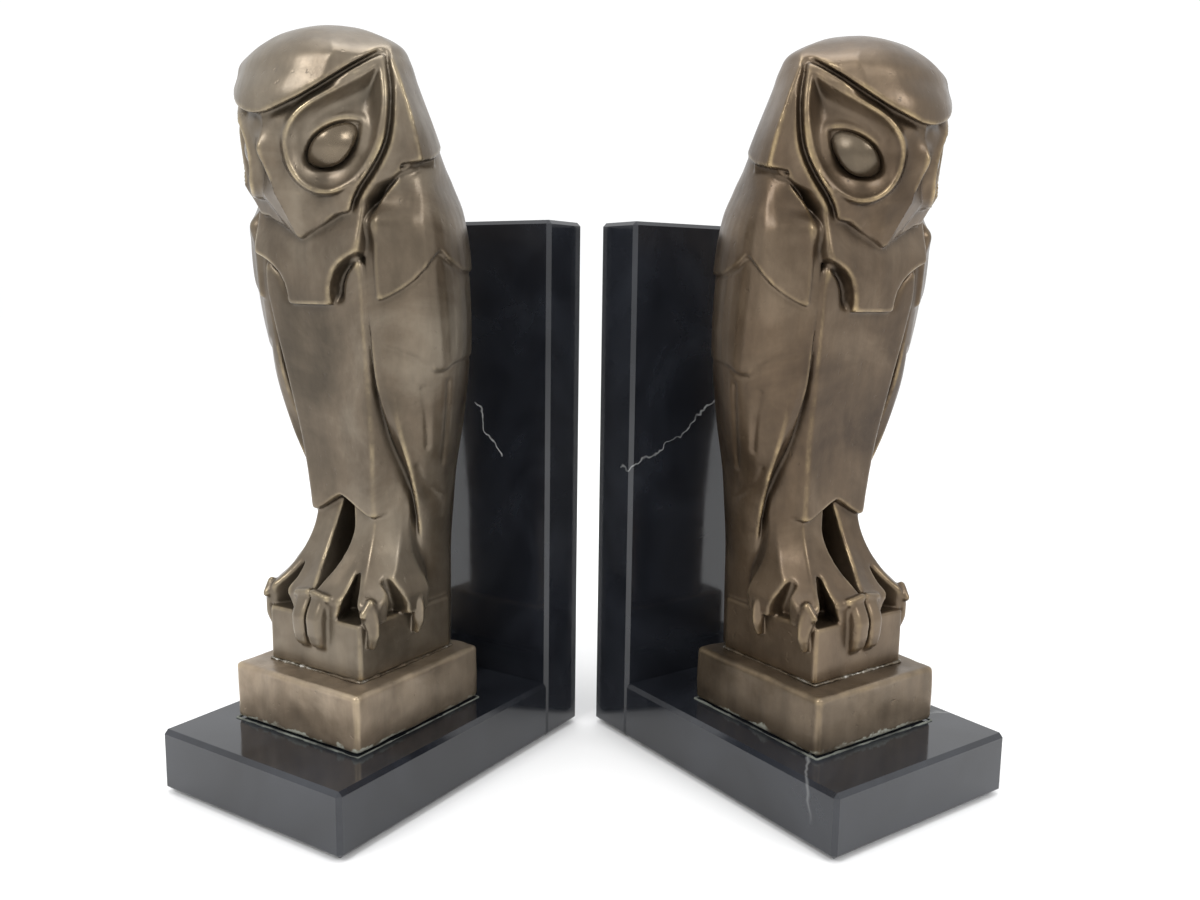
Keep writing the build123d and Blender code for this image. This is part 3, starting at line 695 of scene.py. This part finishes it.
# ---------------------------------------------------------------- materials
class Nodes:
    """Small helper for building a node material."""

    def __init__(self, name):
        self.material = bpy.data.materials.new(name)
        self.material.use_nodes = True
        self.tree = self.material.node_tree
        self.shader = self.tree.nodes["Principled BSDF"]
        self.here = self.add("ShaderNodeTexCoord").outputs["Object"]

    def add(self, kind, **settings):
        node = self.tree.nodes.new(kind)
        for key, value in settings.items():
            setattr(node, key, value)
        return node

    def link(self, source, target):
        self.tree.links.new(source, target)

    def noise(self, scale, detail=4.0, roughness=0.55, distortion=0.0, vector=None):
        node = self.add("ShaderNodeTexNoise")
        node.inputs["Scale"].default_value = scale
        node.inputs["Detail"].default_value = detail
        node.inputs["Roughness"].default_value = roughness
        node.inputs["Distortion"].default_value = distortion
        self.link(vector or self.here, node.inputs["Vector"])
        return node.outputs["Fac"]

    def ramp(self, value, stops):
        node = self.add("ShaderNodeValToRGB")
        ramp = node.color_ramp
        while len(ramp.elements) < len(stops):
            ramp.elements.new(0.5)
        for element, (place, colour) in zip(ramp.elements, stops):
            element.position = place
            element.color = (*colour, 1.0) if isinstance(colour, tuple) else (colour, colour, colour, 1.0)
        self.link(value, node.inputs["Fac"])
        return node.outputs["Color"]

    def mix(self, amount, first, second, mode="MIX"):
        node = self.add("ShaderNodeMix", data_type="RGBA", blend_type=mode)
        for socket, value in ((node.inputs[0], amount), (node.inputs[6], first), (node.inputs[7], second)):
            if isinstance(value, tuple):
                socket.default_value = (*value, 1.0)
            elif isinstance(value, (int, float)):
                socket.default_value = value
            else:
                self.link(value, socket)
        return node.outputs[2]

    def maths(self, operation, *values):
        node = self.add("ShaderNodeMath", operation=operation)
        for socket, value in zip(node.inputs, values):
            if isinstance(value, (int, float)):
                socket.default_value = value
            else:
                self.link(value, socket)
        return node.outputs[0]

    def mark(self, label):
        return self.add("ShaderNodeAttribute", attribute_name=label).outputs["Fac"]

    def bump(self, height, strength, distance, normal=None):
        node = self.add("ShaderNodeBump")
        node.inputs["Strength"].default_value = strength
        node.inputs["Distance"].default_value = distance
        self.link(height, node.inputs["Height"])
        if normal is not None:
            self.link(normal, node.inputs["Normal"])
        return node.outputs["Normal"]


def bronze(name, dark, base, light, gold, rough, residue=False, painted_highlight=False):
    """Brown patina over cast bronze: blotchy tone, painted shade in the grooves, golden rubbed edges, casting
    pits.
    """
    m = Nodes(name)
    blotch = m.noise(38, 5, 0.6, 0.4)
    clouds = m.noise(14, 3, 0.5)
    tone = m.ramp(m.mix(0.45, blotch, clouds), ((0.36, dark), (0.5, base), (0.66, light)))
    # Painted shade: the colour is darkened towards 0.3 times the dark tone in grooves and hollows, following
    # the hollow mark.
    painted_shade = m.maths("MULTIPLY", m.mark("hollow"), 0.72)
    tone = m.mix(painted_shade, tone, tuple(c * 0.3 for c in dark))
    broken = m.ramp(m.noise(95, 4, 0.65), ((0.4, 0.12), (0.62, 0.8)))
    rubbed = m.maths("MULTIPLY", m.mark("worn"), broken)
    tone = m.mix(rubbed, tone, gold)
    # Painted highlight: the crown and the feet are mixed towards the light tone.
    if painted_highlight:
        tone = m.mix(painted_highlight_mask(m), tone, light)
    squeeze = m.add("ShaderNodeMapping")
    squeeze.inputs["Scale"].default_value = (1.0, 1.0, 0.22)
    m.link(m.here, squeeze.inputs["Vector"])
    wiped = m.ramp(m.noise(120, 4, 0.6, vector=squeeze.outputs["Vector"]), ((0.36, 0.62), (0.62, 1.0)))
    tone = m.mix(0.6, tone, wiped, "MULTIPLY")
    if residue:
        dry = residue_mask(m)
        tone = m.mix(dry, tone, (0.40, 0.42, 0.36))
        m.link(m.maths("SUBTRACT", 0.82, m.maths("MULTIPLY", dry, 0.8)), m.shader.inputs["Metallic"])
    m.link(tone, m.shader.inputs["Base Color"])
    m.shader.inputs["Metallic"].default_value = 0.82
    streak = m.ramp(m.noise(60, 6, 0.65), ((0.35, rough - 0.07), (0.65, rough + 0.1)))
    wear_rough = m.mix(rubbed, streak, (0.24, 0.24, 0.24))
    m.link(wear_rough, m.shader.inputs["Roughness"])
    m.shader.inputs["Coat Weight"].default_value = 0.18
    m.shader.inputs["Coat Roughness"].default_value = 0.22
    fine = m.noise(900, 3, 0.6)
    pits = m.ramp(m.noise(420, 2, 0.5), ((0.26, 0.0), (0.33, 1.0)))
    normal = m.bump(fine, 0.12, 0.0002)
    normal = m.bump(pits, 0.25, 0.0003, normal)
    normal = m.bump(blotch, 0.25, 0.0008, normal)
    m.link(normal, m.shader.inputs["Normal"])
    return m.material


def painted_highlight_mask(m):
    """Painted highlight: lighter colour on the crown and the feet, chosen by height."""
    split = m.add("ShaderNodeSeparateXYZ")
    m.link(m.here, split.inputs[0])
    height = m.maths("MULTIPLY", split.outputs["Z"], 4.0)
    zones = m.ramp(height, ((0.2, 0.75), (0.36, 0.0), (0.80, 0.0), (0.90, 0.6)))
    return m.maths("MULTIPLY", zones, m.ramp(m.noise(55, 3, 0.6), ((0.35, 0.35), (0.62, 1.0))))


def residue_mask(m):
    """Broken pale band of old adhesive along the bottom edge of a plinth."""
    split = m.add("ShaderNodeSeparateXYZ")
    m.link(m.here, split.inputs[0])
    height = m.maths("SUBTRACT", split.outputs["Z"], (STONE_TOP + FELT) * MM)
    uneven = m.maths("MULTIPLY", m.noise(130, 4, 0.7), 0.0090)
    edge = m.maths("SUBTRACT", m.maths("SUBTRACT", uneven, 0.0026), height)
    band = m.ramp(m.maths("MULTIPLY", edge, 1600), ((0.0, 0.0), (0.7, 1.0)))
    patches = m.ramp(m.noise(70, 3, 0.6), ((0.42, 0.1), (0.56, 0.8)))
    return m.maths("MULTIPLY", band, patches)


def marble():
    """Polished black marble: faint blue-grey clouds and hair-fine white veins."""
    m = Nodes("black_marble")
    clouds = m.noise(22, 6, 0.6, 0.8)
    stone = m.ramp(clouds, ((0.4, (0.009, 0.010, 0.013)), (0.75, (0.024, 0.027, 0.034))))
    bend = m.add("ShaderNodeVectorMath", operation="ADD")
    drift = m.add("ShaderNodeTexNoise")
    drift.inputs["Scale"].default_value = 18
    drift.inputs["Detail"].default_value = 4
    m.link(m.here, drift.inputs["Vector"])
    shrink = m.add("ShaderNodeVectorMath", operation="SCALE")
    shrink.inputs["Scale"].default_value = 0.045
    m.link(drift.outputs["Color"], shrink.inputs[0])
    m.link(m.here, bend.inputs[0])
    m.link(shrink.outputs[0], bend.inputs[1])
    cells = m.add("ShaderNodeTexVoronoi", feature="DISTANCE_TO_EDGE")
    cells.inputs["Scale"].default_value = 17
    m.link(bend.outputs[0], cells.inputs["Vector"])
    thin = m.ramp(cells.outputs["Distance"], ((0.0, 1.0), (0.012, 0.0)))
    patches = m.ramp(m.noise(11, 2, 0.5), ((0.56, 0.0), (0.66, 1.0)))
    veins = m.maths("MULTIPLY", m.maths("MULTIPLY", thin, patches), 0.3)
    right_vein = m.maths("MULTIPLY", vein_mask(m, "right", (-40, 96.5), (0, 119.5)), 0.6)
    strong = m.maths("MAXIMUM", right_vein, vein_mask(m, "left", (7.5, 119), (19, 100)))
    veins = m.maths("MAXIMUM", veins, strong)
    m.link(m.mix(veins, stone, (0.62, 0.63, 0.62)), m.shader.inputs["Base Color"])
    m.link(m.ramp(m.noise(240, 3, 0.6), ((0.3, 0.06), (0.7, 0.13))), m.shader.inputs["Roughness"])
    m.shader.inputs["IOR"].default_value = 1.55
    m.link(m.bump(m.noise(30, 3, 0.5), 0.05, 0.0006), m.shader.inputs["Normal"])
    return m.material


def vein_mask(m, side, start, end):
    """A thin wandering vein across the front of one upright, from start to end (x, height in mm)."""
    place = PLACES[side]
    a = place @ Vector((start[0], 100, start[1]))
    b = place @ Vector((end[0], 100, end[1]))
    along = (b - a).normalized()
    ahead = (place.to_3x3() @ Vector((0, 1, 0))).normalized()
    over = along.cross(ahead).normalized()
    middle = (a + b) / 2
    wander = m.add("ShaderNodeTexNoise")
    wander.inputs["Scale"].default_value = 90
    wander.inputs["Detail"].default_value = 3
    m.link(m.here, wander.inputs["Vector"])

    def distance(direction):
        node = m.add("ShaderNodeVectorMath", operation="DOT_PRODUCT")
        node.inputs[1].default_value = direction
        m.link(m.here, node.inputs[0])
        return m.maths("SUBTRACT", node.outputs["Value"], direction.dot(middle))

    straight = distance(over)
    sway = m.maths("MULTIPLY", m.maths("SUBTRACT", wander.outputs["Fac"], 0.5), 0.014)
    off = m.maths("ADD", straight, sway)
    line = m.ramp(m.maths("MULTIPLY", m.maths("ABSOLUTE", off), 1000), ((0.0, 1.0), (0.45, 0.0)))
    length = m.maths("LESS_THAN", m.maths("ABSOLUTE", distance(along)), (b - a).length / 2)
    depth = m.maths("LESS_THAN", m.maths("ABSOLUTE", distance(ahead)), 0.006)
    broken = m.ramp(m.noise(150, 2, 0.5), ((0.35, 0.15), (0.6, 1.0)))
    return m.maths("MULTIPLY", m.maths("MULTIPLY", line, broken), m.maths("MULTIPLY", length, depth))


def solder_metal():
    """Grey solder, speckled bright where it was filed and dark where flux stayed."""
    m = Nodes("solder")
    speck = m.noise(620, 4, 0.7)
    filed = m.ramp(speck, ((0.4, (0.09, 0.075, 0.055)), (0.52, (0.24, 0.22, 0.18)),
                           (0.64, (0.6, 0.58, 0.54))))
    bare = m.ramp(m.noise(48, 3, 0.6), ((0.5, 0.0), (0.6, 1.0)))
    m.link(m.mix(bare, (0.11, 0.085, 0.058), filed), m.shader.inputs["Base Color"])
    m.shader.inputs["Metallic"].default_value = 0.8
    m.link(m.ramp(speck, ((0.35, 0.55), (0.65, 0.28))), m.shader.inputs["Roughness"])
    m.link(m.bump(m.noise(500, 4, 0.7), 0.5, 0.0006), m.shader.inputs["Normal"])
    return m.material


def plain(name, dark, light, scale, rough, metal=0.0, bump=0.15, depth=0.0004):
    """A simple two-tone material with grain in its colour, roughness and bump."""
    m = Nodes(name)
    grain = m.noise(scale, 5, 0.6)
    m.link(m.ramp(grain, ((0.35, dark), (0.65, light))), m.shader.inputs["Base Color"])
    m.shader.inputs["Metallic"].default_value = metal
    m.link(m.ramp(grain, ((0.3, rough - 0.06), (0.7, rough + 0.06))), m.shader.inputs["Roughness"])
    m.link(m.bump(m.noise(scale * 6, 3, 0.6), bump, depth), m.shader.inputs["Normal"])
    return m.material


MATERIALS = {
    "black_marble": marble(),
    "owl_bronze": bronze("owl_bronze_left", (0.070, 0.053, 0.034), (0.128, 0.098, 0.067),
                         (0.225, 0.188, 0.140), (0.50, 0.40, 0.24), 0.36, painted_highlight=True),
    "owl_bronze_right": bronze("owl_bronze_right", (0.056, 0.036, 0.021), (0.104, 0.071, 0.043),
                               (0.180, 0.132, 0.087), (0.47, 0.35, 0.19), 0.36, painted_highlight=True),
    # The left plinth's colours are its own lighter patina, lightened further as painted light for the lamp
    # falling on it from the left.
    "plinth_bronze": bronze("plinth_bronze_left_patina_and_light", (0.230, 0.176, 0.122), (0.370, 0.295, 0.215),
                            (0.480, 0.400, 0.310), (0.55, 0.44, 0.28), 0.42, residue=True),
    "plinth_bronze_right": bronze("plinth_bronze_right", (0.090, 0.066, 0.043), (0.165, 0.124, 0.083),
                                  (0.245, 0.190, 0.134), (0.44, 0.33, 0.19), 0.42, residue=True),
    "eye_bronze": bronze("eye_bronze", (0.060, 0.044, 0.027), (0.105, 0.080, 0.052), (0.165, 0.130, 0.090),
                         (0.46, 0.37, 0.22), 0.3),
    "solder": solder_metal(),
    "bedding_adhesive": plain("bedding_adhesive", (0.02, 0.021, 0.018), (0.17, 0.18, 0.155), 110, 0.75,
                              bump=0.4),
    "seam_glue": plain("seam_glue", (0.012, 0.012, 0.014), (0.03, 0.03, 0.033), 300, 0.4),
    "zinc_steel": plain("zinc_steel", (0.42, 0.43, 0.45), (0.6, 0.61, 0.62), 400, 0.38, metal=1.0),
    "black_felt": plain("black_felt", (0.010, 0.010, 0.010), (0.035, 0.035, 0.035), 900, 0.92,
                        bump=0.6, depth=0.0008),
}
SLOT_OF = {entry["node"]: entry["material_slot"] for entry in frame["record"]["subparts"]}
for node_name, node_object in frame["nodes"].items():
    node_object.data.materials.clear()
    node_object.data.materials.append(MATERIALS[SLOT_OF[node_name]])


# ---------------------------------------------------------------- the two owls
def build_owls():
    """The figure and its pair of eyes on each side."""
    block, f, (eye_field, eye_low) = field(VOXEL)
    f = soften(f)
    low = (block.x[0], block.y[0], block.z[0])
    points, quads = surface_nets(f, np.array(low) - VOXEL / 2, VOXEL)
    points, quads = mirror(points, quads, VOXEL)
    folded = np.abs(points * (1, 0, 0)) + points * (0, 1, 1)
    worn, hollow = shape_marks(f, low, VOXEL, folded)
    eye_points, eye_quads = surface_nets(eye_field, np.array(eye_low) - VOXEL / 2, VOXEL)
    other = eye_points * (-1, 1, 1)
    both = np.vstack([eye_points, other])
    both_quads = np.vstack([eye_quads, eye_quads[:, ::-1] + len(eye_points)])
    for side in ("left", "right"):
        skin = MATERIALS["owl_bronze" if side == "left" else "owl_bronze_right"]
        owl = mesh_object(f"{side}_owl_figure", points, quads, side, skin, {"worn": worn, "hollow": hollow})
        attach(owl, f"{side}_bookend")
        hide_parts(f"{side}_owl_casting")
        bare = np.zeros(len(both))
        eyes = mesh_object(f"{side}_owl_eye_pair", both, both_quads, side, MATERIALS["eye_bronze"],
                           {"worn": bare, "hollow": bare})
        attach(eyes, f"{side}_bookend")
        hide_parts(f"{side}_owl_eyes")


build_owls()


# ---------------------------------------------------------------- plinths and the joints round them
def ripple(X, Y, Z, seed, length):
    """Smooth unevenness between about -1 and 1, with bumps about `length` mm apart."""
    rng = np.random.default_rng(seed)
    total = 0
    for _ in range(7):
        way = rng.normal(size=3)
        way *= 2 * PI / length / np.linalg.norm(way) * rng.uniform(0.6, 1.5)
        total = total + np.sin(X * way[0] + Y * way[1] + Z * way[2] + rng.uniform(0, 2 * PI))
    return total / 3.0


def rounded_box_sd(X, Y, Z, low, high, radius):
    """A box between two corners, with its edges rounded."""
    centre = [(a + b) / 2 for a, b in zip(low, high)]
    half = [(b - a) / 2 - radius for a, b in zip(low, high)]
    q = [np.abs(v - c) - h for v, c, h in zip((X, Y, Z), centre, half)]
    outside = np.sqrt(sum(np.maximum(a, 0) ** 2 for a in q))
    return outside + np.minimum(np.maximum(np.maximum(q[0], q[1]), q[2]), 0) - radius


def field_piece(name, low, high, step, shape, side, material, slot, *nodes):
    """A piece made from a field, standing in for the nodes given."""
    block = Block(low, high, step)
    X, Y, Z = block.x[:, None, None], block.y[None, :, None], block.z[None, None, :]
    f = np.broadcast_to(shape(X, Y, Z), block.f.shape).astype(np.float32).copy()
    first = (block.x[0], block.y[0], block.z[0])
    points, quads = surface_nets(f, np.array(first) - step / 2, step)
    worn, hollow = shape_marks(f, first, step, points)
    made = mesh_object(name, points, quads, side, material, {"worn": worn, "hollow": hollow})
    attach(made, f"{side}_bookend")
    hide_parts(*nodes)


PLINTH = ((-27.0, 19.3), (27.0, 76.7))
PERCH = ((-20.0, 28.2), (20.0, 70.2))


def build_plinth(side, seed):
    """The cast block under one owl, uneven most along its top edge."""
    def shape(X, Y, Z):
        box = rounded_box_sd(X, Y, Z, (*PLINTH[0], STONE_TOP + 0.4), (*PLINTH[1], PLINTH_TOP), 1.7)
        uneven = 0.34 * ripple(X, Y, Z, seed, 19.0) + 0.12 * ripple(X, Y, Z, seed + 1, 8.0)
        edge = np.clip((Z - (PLINTH_TOP - 4.0)) / 4.0, 0, 1)
        return box + 0.1 + uneven * (0.35 + 0.65 * edge) * np.clip((PLINTH_TOP + 0.35 - Z) / 0.8, 0.25, 1)
    field_piece(f"{side}_plinth_block", (-29, 17, 18.6), (29, 79, 41), 0.5, shape, side,
                MATERIALS["plinth_bronze" if side == "left" else "plinth_bronze_right"], "plinth_bronze",
                f"{side}_plinth_casting")


def build_bead(name, side, rect, height, radius, seed, material, slot, node):
    """A lumpy line of solder or adhesive where an upright block meets the surface under it."""
    def shape(X, Y, Z):
        walls = rounded_box_sd(X, Y, Z, (*rect[0], height - 9), (*rect[1], height + 9), 0.4)
        lumps = 1 + 0.3 * ripple(X, Y, Z, seed, 9.0) + 0.12 * ripple(X, Y, Z, seed + 3, 3.5)
        reach = radius * np.clip(lumps, 0.18, 1.7)
        bead = np.sqrt(np.maximum(walls, 0) ** 2 + np.maximum(Z - height, 0) ** 2) - reach
        return np.maximum(np.maximum(bead, -0.35 - walls), height - 0.1 - Z)
    low = (rect[0][0] - 2.6, rect[0][1] - 2.6, height - 0.8)
    high = (rect[1][0] + 2.6, rect[1][1] + 2.6, height + 2.6)
    field_piece(name, low, high, 0.3, shape, side, material, slot, node)


for place_name, place_seed in (("left", 11), ("right", 29)):
    build_plinth(place_name, place_seed)
    build_bead(f"{place_name}_solder_line", place_name, PERCH, PLINTH_TOP, 0.62, place_seed + 5,
               MATERIALS["solder"], "solder", f"{place_name}_perch_solder_bead")
    build_bead(f"{place_name}_bedding_line", place_name, PLINTH, STONE_TOP, 0.38, place_seed + 7,
               MATERIALS["bedding_adhesive"], "bedding_adhesive", f"{place_name}_plinth_bedding")


# ---------------------------------------------------------------- floor, light and camera
def stage_and_light():
    bpy.context.scene.view_settings.view_transform = "Standard"
    bpy.ops.mesh.primitive_plane_add(size=40.0, location=(0, 0.6, 0))
    floor = bpy.context.object
    floor.name = "floor"
    m = Nodes("floor_paper")
    paper = m.ramp(m.noise(6, 2), ((0.3, (0.93, 0.93, 0.93)), (0.7, (0.95, 0.95, 0.95))))
    m.link(paper, m.shader.inputs["Base Color"])
    m.shader.inputs["Roughness"].default_value = 0.75
    floor.data.materials.append(m.material)
    world = bpy.data.worlds.new("studio")
    bpy.context.scene.world = world
    world.use_nodes = True
    world.node_tree.nodes["Background"].inputs["Color"].default_value = (0.99, 0.995, 1.0, 1.0)
    world.node_tree.nodes["Background"].inputs["Strength"].default_value = 1.08
    lamps = (
        ("key", (-0.6, -0.7, 0.9), 0.4, 5.0),
        ("fill", (0.7, -0.65, 0.75), 0.35, 3.0),
        ("top", (0.0, 0.1, 1.3), 0.7, 5.0),
    )
    for name, spot, size, power in lamps:
        data = bpy.data.lights.new(name, "AREA")
        data.shape = "SQUARE"
        data.size = size
        data.energy = power
        lamp = bpy.data.objects.new(name, data)
        lamp.location = spot
        lamp.rotation_euler = (Vector((0, 0, 0.1)) - Vector(spot)).to_track_quat("-Z", "Y").to_euler()
        bpy.context.scene.collection.objects.link(lamp)


CAMERA_PLACE = Vector((-5.1, -346.2, 161.0)) * MM
CAMERA_AHEAD = Vector((0.0243, 0.9997, 0.0))
CAMERA_PITCH = math.radians(8.81)
CAMERA_ROLL = math.radians(0.83)
LENS = 31.55


def make_camera():
    data = bpy.data.cameras.new("camera")
    data.lens = LENS
    data.sensor_width = 36.0
    data.clip_start = 0.01
    camera = bpy.data.objects.new("camera", data)
    bpy.context.scene.collection.objects.link(camera)
    forward = CAMERA_AHEAD.normalized() * math.cos(CAMERA_PITCH) - Vector((0, 0, math.sin(CAMERA_PITCH)))
    right = forward.cross(Vector((0, 0, 1))).normalized()
    up = right.cross(forward)
    tilt_up = up * math.cos(CAMERA_ROLL) - right * math.sin(CAMERA_ROLL)
    tilt_right = right * math.cos(CAMERA_ROLL) + up * math.sin(CAMERA_ROLL)
    camera.matrix_world = Matrix((
        (tilt_right.x, tilt_up.x, -forward.x, CAMERA_PLACE.x),
        (tilt_right.y, tilt_up.y, -forward.y, CAMERA_PLACE.y),
        (tilt_right.z, tilt_up.z, -forward.z, CAMERA_PLACE.z),
        (0, 0, 0, 1),
    ))
    bpy.context.scene.camera = camera


stage_and_light()
make_camera()
